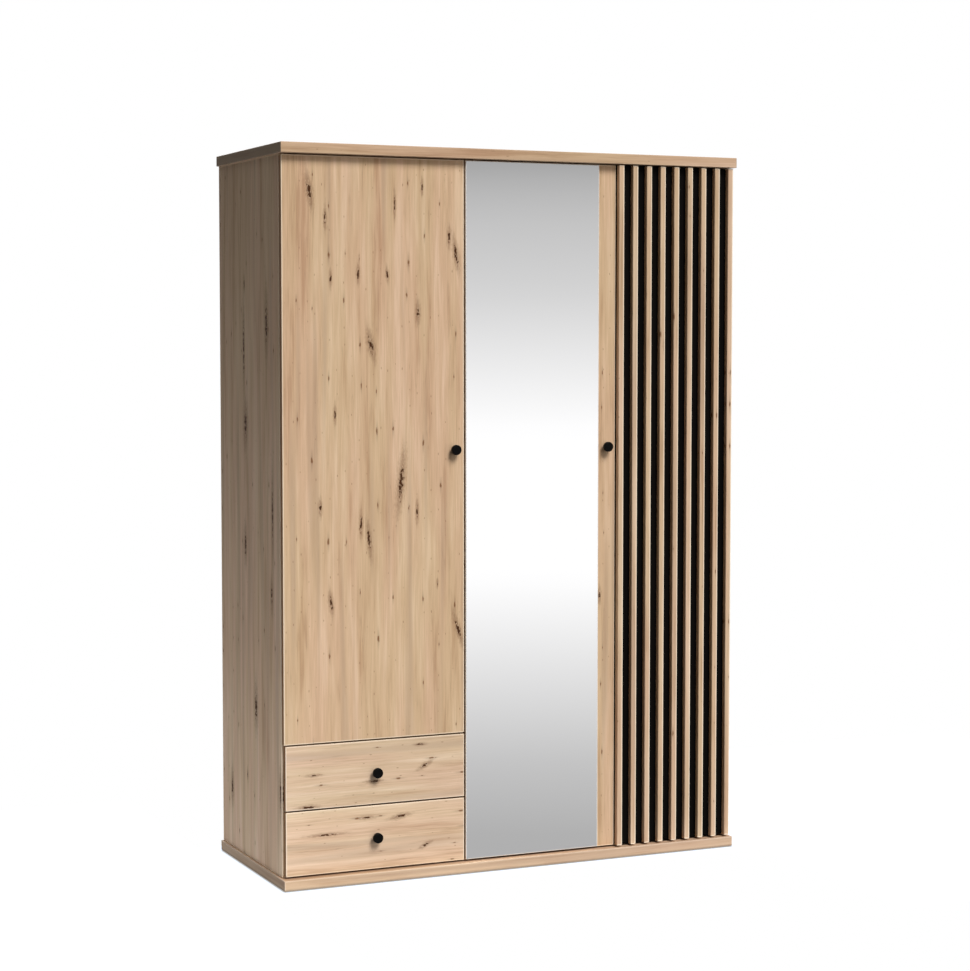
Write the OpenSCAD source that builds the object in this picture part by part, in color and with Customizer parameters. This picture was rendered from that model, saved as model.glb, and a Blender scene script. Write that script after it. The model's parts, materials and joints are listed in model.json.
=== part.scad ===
// Free-standing wardrobe: an oak door over two drawers, a mirror door and a black door with
// oak slats, between a top board and a base board that stand out past the carcass.
//
// The origin is the middle of the footprint on the floor. X runs from left to right, Y from the
// front (negative) to the back (positive) and Z is up. All sizes are millimetres.

/* [Overall size] */
// Width over the top and base boards
width = 1380; // [1340:5:1440]
// Depth over the top and base boards
depth = 560; // [540:5:620]
// Height from the floor to the top face
height = 2000; // [1960:5:2100]

/* [Carcass] */
// Thickness of the top and base boards
board_t = 28; // [25:1:32]
// Thickness of the carcass panels, doors and drawer fronts
panel_t = 16; // [16:0.5:18]
// How far the boards stand out past the carcass sides
side_overhang = 7; // [4:1:12]
// How far the boards stand out past the door faces
front_overhang = 22; // [20:1:30]
// Chamfer along the edges of boards, doors and drawer fronts
arris = 1; // [0.5:0.1:1.5]
// Height of the floor glides
glide_h = 2; // [2:0.5:5]
// Thickness of the hardboard back
back_t = 3; // [2.5:0.5:4]
// Middle of the partition, which is also the joint between the left and middle doors
partition_x = -154; // [-200:1:-120]
// Joint between the mirror door and the slatted door
split_x = 313; // [290:1:340]

/* [Doors] */
// Gap between two doors
door_gap = 3; // [3:0.5:4]
// Gap between the doors and the top board
top_gap = 3; // [2:0.5:4]
// Gap between the base board and the lowest fronts
bottom_gap = 5; // [3:0.5:6]
// Air between the back of the doors and the carcass
buffer_gap = 2; // [2:0.5:3]
// Height of the door knobs over the floor
knob_z = 1178; // [1000:1:1300]
// Distance from a door's free edge to its knob
knob_inset = 29.5; // [25:0.5:50]
// Width of the oak strip beside the mirror
mirror_strip_w = 54; // [48:1:80]
// Thickness of the mirror glass
mirror_t = 3; // [3:0.5:4]
// Number of slats on the slatted door
slat_count = 9; // [7:1:11]
// Width and depth of one slat
slat_w = 16; // [12:1:18]

/* [Drawers] */
// Height of one drawer front
drawer_front_h = 175; // [150:1:190]
// Gap above a drawer front
front_gap = 4; // [3:0.5:5]
// Length of the drawer boxes and their runners
drawer_l = 450; // [400:10:460]
// Height of the drawer sides
drawer_side_h = 130; // [100:5:140]

/* [Interior] */
// Number of loose shelves behind the left door
shelf_count = 3; // [3]
// Underside of the lowest loose shelf
first_shelf_z = 740; // [700:10:760]
// Distance between loose shelves
shelf_pitch = 350; // [330:5:355]
// Underside of the hat shelf
hat_shelf_z = 1680; // [1620:5:1700]
// Diameter of the hanging rail
rail_d = 25; // [20:1:30]

/* [Knobs] */
// Diameter of the knob's head
knob_d = 28; // [24:1:34]
// How far a knob stands out from its door
knob_h = 22; // [18:1:22]

/* [Hidden] */
$fn = 48;

// Colours
oak = "#d2b08a";
black_board = "#1b1a1a";
glass = "#c9ced2";
knob_black = "#141414";
steel = "#b4b7ba";
chrome = "#d6d8da";
hardboard = "#c8b79c";
drawer_board = "#e4e0d8";
birch = "#dcc397";
plastic = "#e9e8e4";
tape_white = "#f2f2f0";

// Levels, from the floor up
base_top = glide_h + board_t;
ceiling_z = height - board_t;
fronts_z = base_top + bottom_gap;
door_top = ceiling_z - top_gap;
drawer_pitch = drawer_front_h + front_gap;
left_door_z = fronts_z + 2 * drawer_pitch;
drawer_shelf_z = left_door_z - front_gap / 2 - panel_t / 2;

// Planes, from front to back
face_y = -depth / 2 + front_overhang;
door_back_y = face_y + panel_t;
carcass_y = door_back_y + buffer_gap;
rear_y = depth / 2;
back_y = rear_y - back_t - 1;
shelf_front_y = carcass_y + 12;

// Planes, from left to right
side_x = width / 2 - side_overhang;
inner_x = side_x - panel_t;
part_left = partition_x - panel_t / 2;
part_right = partition_x + panel_t / 2;
edge_inset = 1;

// Back sheets and the joint strip between two of them
sheet_lap = 8;
sheet_edges = [-side_x + sheet_lap + 0.5, partition_x, 262, side_x - sheet_lap - 0.5];

// Doors: 0 is the left door, 1 the mirror door and 2 the slatted door
LEFT = 0;
MIRROR = 1;
SLATTED = 2;
DOORS = [LEFT, MIRROR, SLATTED];
door_x0 = [-side_x + edge_inset, partition_x + door_gap / 2, split_x + door_gap / 2];
door_x1 = [partition_x - door_gap / 2, split_x - door_gap / 2, side_x - edge_inset];
door_z0 = [left_door_z, fronts_z, fronts_z];
hinge_edge = [door_x0[LEFT], door_x0[MIRROR], door_x1[SLATTED]];
// Distance from a door's hinge edge to the panel face that carries its hinges
hinge_wall = [panel_t - edge_inset, part_right - door_x0[MIRROR], panel_t - edge_inset];
tall_hinges = [135, 700, 1290, 1869];
hinge_z = [[493, 1181, 1869], tall_hinges, tall_hinges];

// Concealed hinges, in a frame with x from the door's hinge edge and y from the carcass front
cup_r = 17.45;
cup_wall = 0.85;
cup_depth = 11.8;
cup_x = 22.5;
flange_t = 1;
ear_x = 32;
ear_z = 22.5;
plate_t = 4;
plate_y = 37;
arm_pin = [34, -buffer_gap - 7];
arm_pin_r = 1.25;
arm_nose_r = 2.5;
arm_half_h = 5;
fork_half_h = 3.4;
link_len = 22;
link_angle = 173;
link_t = 2;
link_half_h = 3;
link_eye_r = 2.3;
pin_play = 0.05;

// Cam fittings: a lock in one panel pulls a bolt that is screwed into its neighbour
cam_r = 7.4;
cam_hole_r = 7.5;
cam_t = 12;
cam_hole_t = 12.5;
cam_reach = 34;
bolt_r = 3.5;
bolt_hole_r = 4;
thread_r = 2.5;
thread_l = 11;
dowel_r = 4;
dowel_l = 30;
cam_ys = [carcass_y + 50, back_y - 50];
dowel_ys = [carcass_y + 82, back_y - 82];

// Loose shelves
pin_r = 2.5;
pin_l = 8;
pin_ys = [shelf_front_y + 40, back_y - 45];
shelf_play = 1;

// Hanging rail
rail_y = 20;
rail_z = hat_shelf_z - 60;
rail_wall = 1.2;
socket_r = 21;
socket_t = 3;

// Drawers
runner_w = 12.7;
drawer_t = 12;
drawer_bottom_t = 3;
bottom_lift = 10;
groove = 5;
drawer_x0 = -inner_x + runner_w;
drawer_x1 = part_left - runner_w;
drawer_y1 = door_back_y + drawer_l;
drawer_front_x0 = door_x0[LEFT] + 4;
drawer_box_lift = 13;
runner_h = 45;
runner_t = 1.2;
runner_y = carcass_y + 3;
runner_screws = [30, 200, 400];
knob_stem_r = 6;
knob_round = 3;
knob_head_t = 10;
mirror_tape_t = 1;

function drawer_z(level) = fronts_z + level * drawer_pitch;
function box_z(level) = drawer_z(level) + drawer_box_lift;
function runner_z(level) = box_z(level) + drawer_side_h / 2;
function shelf_z(i) = first_shelf_z + i * shelf_pitch;

// ---- Shared shapes ----

// A plain box between two opposite corners
module block(lo, hi) {
    translate(lo) cube(hi - lo);
}

// A rectangle with its corners cut off
module eased(size) {
    c = arris;
    polygon([[c, 0], [size[0] - c, 0], [size[0], c], [size[0], size[1] - c],
             [size[0] - c, size[1]], [c, size[1]], [0, size[1] - c], [0, c]]);
}

// A board between two opposite corners with all its edges chamfered
module board(lo, hi) {
    size = hi - lo;
    translate(lo) intersection() {
        linear_extrude(size[2]) eased([size[0], size[1]]);
        translate([0, size[1], 0]) rotate([90, 0, 0]) linear_extrude(size[1])
            eased([size[0], size[2]]);
        rotate([90, 0, 90]) linear_extrude(size[0]) eased([size[1], size[2]]);
    }
}

// A round bar of length l from p along X, Y or Z; a negative length goes the other way
module bar_x(p, r, l) {
    translate(p) rotate([0, 90, 0]) translate([0, 0, min(l, 0)]) cylinder(r = r, h = abs(l));
}

module bar_y(p, r, l) {
    translate(p) rotate([-90, 0, 0]) translate([0, 0, min(l, 0)]) cylinder(r = r, h = abs(l));
}

module bar_z(p, r, l) {
    translate(p + [0, 0, min(l, 0)]) cylinder(r = r, h = abs(l));
}

// Both ends of the upright panels, as [height, direction into the panel]
panel_ends = [[base_top, 1], [ceiling_z, -1]];

// ---- Cam fittings and dowels ----

// Upright panels joined to the top and base boards: [middle of the panel, side of its locks]
uprights = [[-side_x + panel_t / 2, 1], [partition_x, 1], [side_x - panel_t / 2, -1]];
// Shelves fixed between two uprights: [underside, left end, right end]
fixed_shelves = [[drawer_shelf_z, -inner_x, part_left], [hat_shelf_z, part_right, inner_x]];

// Each fixed shelf's two ends, as [x of the end, direction into the shelf]
function shelf_ends(shelf) = [[shelf[1], 1], [shelf[2], -1]];

// The lock's pocket, the bolt's bore and the dowel's bore in the ends of one upright
module upright_bores(upright) {
    for (end = panel_ends) {
        for (y = cam_ys) {
            bar_x([upright[0] + upright[1] * panel_t / 2, y, end[0] + end[1] * cam_reach],
                  cam_hole_r, -upright[1] * cam_hole_t);
            bar_z([upright[0], y, end[0]], bolt_hole_r, end[1] * cam_reach);
        }
        for (y = dowel_ys) {
            bar_z([upright[0], y, end[0]], dowel_r, end[1] * dowel_l / 2);
        }
    }
}

// Bores for bolts and dowels in a board that closes the uprights at height z
module board_bores(z, direction) {
    for (upright = uprights) {
        for (y = cam_ys) {
            bar_z([upright[0], y, z], thread_r, direction * thread_l);
        }
        for (y = dowel_ys) {
            bar_z([upright[0], y, z], dowel_r, direction * dowel_l / 2);
        }
    }
}

// The lock pockets and bolt bores in the ends of a fixed shelf
module shelf_bores(shelf) {
    for (end = shelf_ends(shelf)) {
        for (y = cam_ys) {
            bar_z([end[0] + end[1] * cam_reach, y, shelf[0]], cam_hole_r, cam_hole_t);
            bar_x([end[0], y, shelf[0] + panel_t / 2], bolt_hole_r, end[1] * cam_reach);
        }
    }
}

// Bores for the bolts of a fixed shelf in the upright that faces one of its ends
module shelf_bolt_bores(shelf, side) {
    end = shelf_ends(shelf)[side];
    for (y = cam_ys) {
        bar_x([end[0], y, shelf[0] + panel_t / 2], thread_r, -end[1] * thread_l);
    }
}

// One lock, standing on its open face, with its throat towards +X
module cam_lock() {
    difference() {
        cylinder(r = cam_r, h = cam_t);
        bar_x([0, 0, panel_t / 2], bolt_r + 0.2, cam_r + 1);
        translate([0, 0, panel_t / 2]) sphere(r = bolt_r + 1.2);
        translate([-4, -0.6, -1]) cube([8, 1.2, 3]);
        translate([-0.6, -4, -1]) cube([1.2, 8, 3]);
    }
}

// One bolt, from its thread at x = -thread_l to its head in the lock at x = cam_reach
module cam_bolt() {
    bar_x([-thread_l + 0.2, 0, 0], thread_r - 0.03, thread_l - 0.2);
    bar_x([0, 0, 0], bolt_r, cam_reach - 12);
    bar_x([cam_reach - 12, 0, 0], 2, 9);
    translate([cam_reach - 2, 0, 0]) sphere(r = 3);
}

module cam_locks() {
    color(steel) {
        for (upright = uprights, end = panel_ends, y = cam_ys) {
            translate([upright[0] + upright[1] * panel_t / 2, y, end[0] + end[1] * cam_reach])
                rotate([0, -upright[1] * 90, 0])
                    rotate([0, 0, upright[1] * end[1] > 0 ? 180 : 0]) cam_lock();
        }
        for (shelf = fixed_shelves, end = shelf_ends(shelf), y = cam_ys) {
            translate([end[0] + end[1] * cam_reach, y, shelf[0]])
                rotate([0, 0, end[1] > 0 ? 180 : 0]) cam_lock();
        }
    }
}

module cam_bolts() {
    color(steel) {
        for (upright = uprights, end = panel_ends, y = cam_ys) {
            translate([upright[0], y, end[0]]) rotate([0, -end[1] * 90, 0]) cam_bolt();
        }
        for (shelf = fixed_shelves, end = shelf_ends(shelf), y = cam_ys) {
            translate([end[0], y, shelf[0] + panel_t / 2])
                rotate([0, 0, end[1] > 0 ? 0 : 180]) cam_bolt();
        }
    }
}

module wood_dowels() {
    color(birch) {
        for (upright = uprights, end = panel_ends, y = dowel_ys) {
            bar_z([upright[0], y, end[0] - dowel_l / 2 + 0.5], dowel_r - 0.03, dowel_l - 1);
        }
    }
}

// ---- Carcass ----

module carcass_board(z) {
    board([-width / 2, -depth / 2, z], [width / 2, rear_y, z + board_t]);
}

module top_board() {
    color(oak) difference() {
        carcass_board(ceiling_z);
        board_bores(ceiling_z, 1);
        bracket_screw_bores();
    }
}

module base_board() {
    color(oak) difference() {
        carcass_board(glide_h);
        board_bores(base_top, -1);
        for (p = glide_places) {
            bar_z([p[0], p[1], glide_h], glide_pin_r, glide_pin_l);
        }
    }
}

// An upright panel with its bores for cams and dowels
module upright_panel(x_middle, y_back) {
    board([x_middle - panel_t / 2, carcass_y, base_top],
          [x_middle + panel_t / 2, y_back, ceiling_z]);
}

// The rebate that lets the back sheets into a side panel
module sheet_rebate(side) {
    x = side < 0 ? -inner_x - sheet_lap : inner_x - 1;
    block([x, back_y, base_top - 1], [x + sheet_lap + 1, rear_y + 1, ceiling_z + 1]);
}

module left_side_panel() {
    color(oak) difference() {
        upright_panel(-side_x + panel_t / 2, rear_y);
        sheet_rebate(-1);
        upright_bores(uprights[0]);
        shelf_bolt_bores(fixed_shelves[0], 0);
        shelf_pin_bores(-inner_x, -1);
        hinge_screw_bores(LEFT);
        runner_screw_bores(-inner_x, -1);
    }
}

module right_side_panel() {
    color(oak) difference() {
        upright_panel(side_x - panel_t / 2, rear_y);
        sheet_rebate(1);
        upright_bores(uprights[2]);
        shelf_bolt_bores(fixed_shelves[1], 1);
        hinge_screw_bores(SLATTED);
        socket_screw_bores(1);
    }
}

module partition() {
    color(oak) difference() {
        upright_panel(partition_x, back_y);
        upright_bores(uprights[1]);
        shelf_bolt_bores(fixed_shelves[0], 1);
        shelf_bolt_bores(fixed_shelves[1], 0);
        shelf_pin_bores(part_left, 1);
        hinge_screw_bores(MIRROR);
        runner_screw_bores(part_left, 1);
        socket_screw_bores(-1);
    }
}

module fixed_shelf(shelf) {
    difference() {
        board([shelf[1], carcass_y, shelf[0]], [shelf[2], back_y, shelf[0] + panel_t]);
        shelf_bores(shelf);
    }
}

module drawer_shelf() {
    color(oak) fixed_shelf(fixed_shelves[0]);
}

module hat_shelf() {
    color(oak) fixed_shelf(fixed_shelves[1]);
}

module floor_glides() {
    color(plastic) for (p = glide_places) {
        bar_z([p[0], p[1], 0], 11, glide_h);
        bar_z([p[0], p[1], glide_h], glide_pin_r - 0.03, glide_pin_l - 0.5);
    }
}

glide_pin_r = 1.2;
glide_pin_l = 12;
glide_places = [for (x = [-side_x + 20, partition_x, split_x, side_x - 20],
                     y = [-depth / 2 + 40, rear_y - 30]) [x, y]];

// ---- Back ----

module back_sheet(i) {
    lo = sheet_edges[i] + (i == 0 ? 0 : 1.2);
    hi = sheet_edges[i + 1] - (i == 2 ? 0 : 1.2);
    color(hardboard) difference() {
        block([lo, back_y, base_top + 0.5], [hi, back_y + back_t, ceiling_z - 0.5]);
        for (x = bracket_xs) {
            bar_y([x, back_y - 1, bracket_hole_z], 5, back_t + 2);
        }
    }
}

module back_panel_left() {
    back_sheet(0);
}

module back_panel_middle() {
    back_sheet(1);
}

module back_panel_right() {
    back_sheet(2);
}

// An H-shaped strip that holds the edges of the middle and right sheets
module back_joint_strip() {
    x = sheet_edges[2];
    z0 = base_top + 0.5;
    z1 = ceiling_z - 0.5;
    color(plastic) difference() {
        block([x - 10, back_y - 1, z0], [x + 10, rear_y, z1]);
        for (side = [-1, 1]) {
            block([x + min(side * 1, side * 11), back_y - 0.05, z0 - 1],
                  [x + max(side * 1, side * 11), back_y + back_t + 0.05, z1 + 1]);
        }
        block([x - 11, back_y - 2, hat_shelf_z - 0.5],
              [x + 11, back_y, hat_shelf_z + panel_t + 0.5]);
    }
}

nail_head_t = 0.7;
nail_pitch = 150;
nail_rows = [
    [-side_x + sheet_lap / 2 + sheet_lap, base_top + 60],
    [partition_x - 4.5, base_top + 60],
    [partition_x + 4.5, base_top + 100],
    [side_x - sheet_lap / 2 - sheet_lap, base_top + 60]
];

module back_nails() {
    color(steel) for (row = nail_rows, z = [row[1] : nail_pitch : ceiling_z - 40]) {
        bar_y([row[0], back_y + back_t, z], 2.2, nail_head_t);
    }
}

// ---- Wall brackets ----

bracket_xs = [-560, 560];
bracket_w = 30;
bracket_leg = 40;
bracket_t = 2;
bracket_hole_z = ceiling_z - 25;
bracket_hole_r = 3.25;
bracket_screw_y = back_y - 25;
bracket_screw_l = 12;
bracket_screw_r = 2;

module bracket_screw_bores() {
    for (x = bracket_xs, side = [-8, 8]) {
        bar_z([x + side, bracket_screw_y, ceiling_z], bracket_screw_r, bracket_screw_l + 1);
    }
}

// An angle under the top board with a hole for the screw into the wall
module wall_brackets() {
    color(steel) for (x = bracket_xs) {
        difference() {
            union() {
                block([x - bracket_w / 2, back_y - bracket_leg, ceiling_z - bracket_t],
                      [x + bracket_w / 2, back_y, ceiling_z]);
                block([x - bracket_w / 2, back_y - bracket_t, ceiling_z - bracket_leg],
                      [x + bracket_w / 2, back_y, ceiling_z]);
            }
            bar_y([x, back_y - bracket_t - 1, bracket_hole_z], bracket_hole_r, bracket_t + 2);
            for (side = [-8, 8]) {
                bar_z([x + side, bracket_screw_y, ceiling_z + 1], bracket_screw_r + 0.3, -4);
            }
        }
        for (side = [-8, 8]) {
            bar_z([x + side, bracket_screw_y, ceiling_z - bracket_t], 3.8, -1.6);
            bar_z([x + side, bracket_screw_y, ceiling_z - bracket_t],
                  bracket_screw_r - 0.03, bracket_t + bracket_screw_l);
        }
    }
}

// ---- Loose shelves ----

module shelf_pin_bores(x, side) {
    for (i = [0 : shelf_count - 1], y = pin_ys) {
        bar_x([x, y, shelf_z(i) - pin_r], pin_r, side * pin_l);
    }
}

module loose_shelf(i) {
    color(oak) board([-inner_x + shelf_play, shelf_front_y, shelf_z(i)],
                     [part_left - shelf_play, back_y - 2, shelf_z(i) + panel_t]);
}

module shelf_lower() {
    loose_shelf(0);
}

module shelf_middle() {
    loose_shelf(1);
}

module shelf_upper() {
    loose_shelf(2);
}

module shelf_pins() {
    color(steel) for (i = [0 : shelf_count - 1], y = pin_ys, wall = [[-inner_x, 1], [part_left, -1]]) {
        translate([wall[0], y, shelf_z(i) - pin_r]) {
            bar_x([-wall[1] * (pin_l - 0.5), 0, 0], pin_r - 0.03, wall[1] * (pin_l - 0.5));
            bar_x([0, 0, 0], pin_r + 1, wall[1] * 1);
            bar_x([wall[1], 0, 0], pin_r, wall[1] * 7);
        }
    }
}

// ---- Hanging rail ----

socket_screw_z = 15;

module socket_screw_bores(side) {
    x = side < 0 ? part_right : inner_x;
    for (z = [-socket_screw_z, socket_screw_z]) {
        bar_x([x, rail_y, rail_z + z], 1.5, side * 10);
    }
}

module hanging_rail() {
    color(chrome) difference() {
        bar_x([part_right + 1.5, rail_y, rail_z], rail_d / 2, inner_x - part_right - 3);
        bar_x([part_right, rail_y, rail_z], rail_d / 2 - rail_wall, inner_x - part_right);
    }
}

// A flange with a ring round the end of the rail, held by two screws
module rail_socket() {
    difference() {
        union() {
            bar_x([0, 0, 0], socket_r, socket_t);
            bar_x([0, 0, 0], rail_d / 2 + 2, 14);
        }
        bar_x([1.4, 0, 0], rail_d / 2 + 0.1, 20);
        for (z = [-socket_screw_z, socket_screw_z]) {
            bar_x([-1, 0, z], 1.7, socket_t + 2);
        }
    }
    for (z = [-socket_screw_z, socket_screw_z]) {
        bar_x([socket_t, 0, z], 2.6, 1.2);
        bar_x([-9, 0, z], 1.47, socket_t + 9);
    }
}

module rail_sockets() {
    color(chrome) {
        translate([part_right, rail_y, rail_z]) rail_socket();
        translate([inner_x, rail_y, rail_z]) rotate([0, 0, 180]) rail_socket();
    }
}

// ---- Hinges ----

// Places its children in a door's hinge frame: x from the hinge edge, y from the carcass front
module hinge_frame(door) {
    translate([hinge_edge[door], carcass_y, 0]) {
        if (door == SLATTED) {
            mirror([1, 0, 0]) children();
        } else {
            children();
        }
    }
}

module at_hinges(door) {
    hinge_frame(door) for (z = hinge_z[door]) {
        translate([0, 0, z]) children();
    }
}

plate_screw_z = 16;

module hinge_screw_bores(door) {
    at_hinges(door) for (z = [-plate_screw_z, plate_screw_z]) {
        bar_x([hinge_wall[door], plate_y, z], 2.5, -12);
    }
}

// The mounting plate on the panel with its two screws
module hinge_plate(wall) {
    difference() {
        union() {
            block([wall, 14, -5.5], [wall + plate_t, 60, 5.5]);
            block([wall, plate_y - 8, -25], [wall + plate_t - 1, plate_y + 8, 25]);
        }
        for (z = [-plate_screw_z, plate_screw_z]) {
            bar_x([wall - 1, plate_y, z], 2.8, plate_t + 2);
        }
    }
    for (z = [-plate_screw_z, plate_screw_z]) {
        bar_x([wall + plate_t - 1, plate_y, z], 4.5, 1.8);
        bar_x([wall + plate_t - 1, plate_y, z], 2.47, -14);
    }
}

module hinge_plates() {
    color(steel) for (door = DOORS) {
        at_hinges(door) hinge_plate(hinge_wall[door]);
    }
}

// The cranked arm, forked at its nose, with the pin that the link turns on
module hinge_arm(wall) {
    foot = wall + plate_t;
    pin = [arm_pin[0], arm_pin[1], 0];
    difference() {
        translate([0, 0, -arm_half_h]) linear_extrude(2 * arm_half_h) union() {
            polygon([[foot, 56], [foot + 8, 56], [foot + 8, 22],
                     [arm_pin[0] + arm_nose_r, 2], [arm_pin[0] + arm_nose_r, arm_pin[1]],
                     [arm_pin[0] - arm_nose_r, arm_pin[1]], [arm_pin[0] - arm_nose_r, -1],
                     [foot + 2, 14], [foot, 14]]);
            translate(arm_pin) circle(r = arm_nose_r);
        }
        block([arm_pin[0] - 6, arm_pin[1] - 4, -fork_half_h],
              [arm_pin[0] + 4, arm_pin[1] + 6, fork_half_h]);
        bar_z(pin + [0, 0, -arm_half_h - 1], arm_pin_r, 2 * arm_half_h + 2);
    }
    bar_z(pin + [0, 0, -arm_half_h], arm_pin_r, 2 * arm_half_h);
}

module hinge_arms() {
    color(steel) for (door = DOORS) {
        at_hinges(door) hinge_arm(hinge_wall[door]);
    }
}

// The link reaches from the arm's pin into the cup
module hinge_link() {
    translate([arm_pin[0], arm_pin[1], 0]) rotate([0, 0, link_angle]) difference() {
        union() {
            bar_z([0, 0, -link_half_h], link_eye_r, 2 * link_half_h);
            block([0, -link_t / 2, -link_half_h], [link_len, link_t / 2, link_half_h]);
            bar_z([link_len, 0, -link_half_h], link_t / 2, 2 * link_half_h);
        }
        bar_z([0, 0, -link_half_h - 1], arm_pin_r + pin_play, 2 * link_half_h + 2);
    }
}

module left_door_hinge_links() {
    color(steel) at_hinges(LEFT) hinge_link();
}

module mirror_door_hinge_links() {
    color(steel) at_hinges(MIRROR) hinge_link();
}

module slatted_door_hinge_links() {
    color(steel) at_hinges(SLATTED) hinge_link();
}

// The cup in the back of the door, with its flange and two screws
module hinge_cup() {
    difference() {
        union() {
            bar_y([cup_x, -buffer_gap, 0], cup_r, -cup_depth);
            bar_y([cup_x, -buffer_gap, 0], 19, flange_t);
            block([ear_x - 6, -buffer_gap, -ear_z - 6], [ear_x + 6, -buffer_gap + flange_t, ear_z + 6]);
        }
        bar_y([cup_x, 1, 0], cup_r - cup_wall, -buffer_gap - cup_depth + 0.9 - 1);
        for (z = [-ear_z, ear_z]) {
            bar_y([ear_x, 1, z], 2, -buffer_gap - 2);
        }
    }
    for (z = [-ear_z, ear_z]) {
        bar_y([ear_x, -buffer_gap + flange_t, z], 3.4, 0.6);
        bar_y([ear_x, -buffer_gap + flange_t, z], 1.72, -flange_t - 11);
    }
}

module left_door_hinge_cups() {
    color(steel) at_hinges(LEFT) hinge_cup();
}

module mirror_door_hinge_cups() {
    color(steel) at_hinges(MIRROR) hinge_cup();
}

module slatted_door_hinge_cups() {
    color(steel) at_hinges(SLATTED) hinge_cup();
}

module cup_bores(door) {
    at_hinges(door) {
        bar_y([cup_x, -buffer_gap + 1, 0], cup_r + 0.05, -1 - cup_depth - 0.2);
        for (z = [-ear_z, ear_z]) {
            bar_y([ear_x, -buffer_gap + 1, z], 1.75, -13);
        }
    }
}

// ---- Doors ----

module door_panel(door) {
    board([door_x0[door], face_y, door_z0[door]], [door_x1[door], door_back_y, door_top]);
}

// A round knob that stands out along -Y from a front at y = 0, with its screw from behind
module knob() {
    rotate([90, 0, 0]) difference() {
        union() {
            cylinder(r = knob_stem_r, h = knob_h - knob_head_t + 1);
            cylinder(r1 = knob_stem_r + 2, r2 = knob_stem_r, h = 3);
            translate([0, 0, knob_h - knob_head_t]) rotate_extrude() {
                square([knob_d / 2 - knob_round, knob_head_t]);
                square([knob_d / 2, knob_head_t - knob_round]);
                translate([knob_d / 2 - knob_round, knob_head_t - knob_round])
                    circle(r = knob_round);
            }
        }
        translate([0, 0, -1]) cylinder(r = 2.03, h = 13);
    }
    bar_y([0, -11.5, 0], 2, 11.5 + panel_t);
    bar_y([0, panel_t, 0], 4, 1.2);
}

module knob_bore(p) {
    bar_y([p[0], face_y - 1, p[1]], 2.03, panel_t + 2);
}

knob_left = [door_x1[LEFT] - knob_inset, knob_z];
knob_mirror = [door_x1[MIRROR] - knob_inset, knob_z];
knob_upper = [(-side_x + partition_x) / 2, drawer_z(1) + drawer_front_h / 2];
knob_lower = [(-side_x + partition_x) / 2, drawer_z(0) + drawer_front_h / 2];

module knob_at(p) {
    color(knob_black) translate([p[0], face_y, p[1]]) knob();
}

module left_door_panel() {
    color(oak) difference() {
        door_panel(LEFT);
        cup_bores(LEFT);
        knob_bore(knob_left);
    }
}

module left_door_knob() {
    knob_at(knob_left);
}

module mirror_door_panel() {
    color(oak) difference() {
        door_panel(MIRROR);
        cup_bores(MIRROR);
        knob_bore(knob_mirror);
    }
}

mirror_inset = 1;
mirror_x0 = door_x0[MIRROR] + mirror_inset;
mirror_x1 = door_x1[MIRROR] - mirror_strip_w;

// The mirror, held in front of the door by the thickness of its tape
module mirror_glass() {
    color(glass) board([mirror_x0, face_y - mirror_tape_t - mirror_t, fronts_z + mirror_inset],
                       [mirror_x1, face_y - mirror_tape_t, door_top - mirror_inset]);
}

tape_w = 18;
tape_inset = 12;
tape_count = 6;

module mirror_tape() {
    pitch = (mirror_x1 - mirror_x0 - 2 * tape_inset - tape_w) / (tape_count - 1);
    color(tape_white) for (i = [0 : tape_count - 1]) {
        x = mirror_x0 + tape_inset + i * pitch;
        block([x, face_y - mirror_tape_t, fronts_z + 30], [x + tape_w, face_y, door_top - 30]);
    }
}

module mirror_door_knob() {
    knob_at(knob_mirror);
}

module slatted_door_panel() {
    color(black_board) difference() {
        door_panel(SLATTED);
        cup_bores(SLATTED);
    }
}

slat_pitch = (door_x1[SLATTED] - door_x0[SLATTED] - slat_w) / (slat_count - 1);

module door_slats() {
    color(oak) for (i = [0 : slat_count - 1]) {
        x = door_x0[SLATTED] + i * slat_pitch;
        board([x, face_y - slat_w, fronts_z], [x + slat_w, face_y, door_top]);
    }
}

buffer_r = 3;
buffer_t = 1.6;

// Soft pads on the front of the carcass where doors and drawers come to rest
module door_buffers() {
    pad_x = part_left + 3.2;
    pads = [[pad_x, left_door_z + 60], [pad_x, door_top - 60],
            [pad_x, drawer_z(0) + 30], [pad_x, drawer_z(1) + 30],
            [-side_x + panel_t / 2 + 2, drawer_z(0) + 30],
            [-side_x + panel_t / 2 + 2, drawer_z(1) + 30],
            [split_x - 12, hat_shelf_z + panel_t / 2],
            [split_x + 12, hat_shelf_z + panel_t / 2]];
    color(plastic) for (p = pads) {
        bar_y([p[0], carcass_y, p[1]], buffer_r, -buffer_t);
    }
}

// ---- Drawer runners ----

// Every member is a C-shaped channel: [web's distance from the wall, flange's far edge,
// half height]. The cabinet member opens away from the wall, and so does the middle one.
cabinet_member = [0, 9.5, runner_h / 2];
middle_member = [4.2, 10.4, runner_h / 2 - 2.7];
drawer_member = [runner_w - runner_t, 6.8, runner_h / 2 - 5.4];

// Places its children at the walls beside one drawer, with x away from the wall
module at_runners(level) {
    translate([-inner_x, runner_y, runner_z(level)]) children();
    translate([part_left, runner_y, runner_z(level)]) mirror([1, 0, 0]) children();
}

module channel(member, l) {
    web = member[0];
    edge = member[1];
    half = member[2];
    block([web, 0, -half], [web + runner_t, l, half]);
    for (z = [-half, half - runner_t]) {
        block([min(web, edge), 0, z], [max(web + runner_t, edge), l, z + runner_t]);
    }
}

module runner_screw_bores(x, side) {
    for (level = [0, 1], y = runner_screws) {
        bar_x([x, runner_y + y, runner_z(level)], 1.75, side * 12);
    }
}

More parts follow.
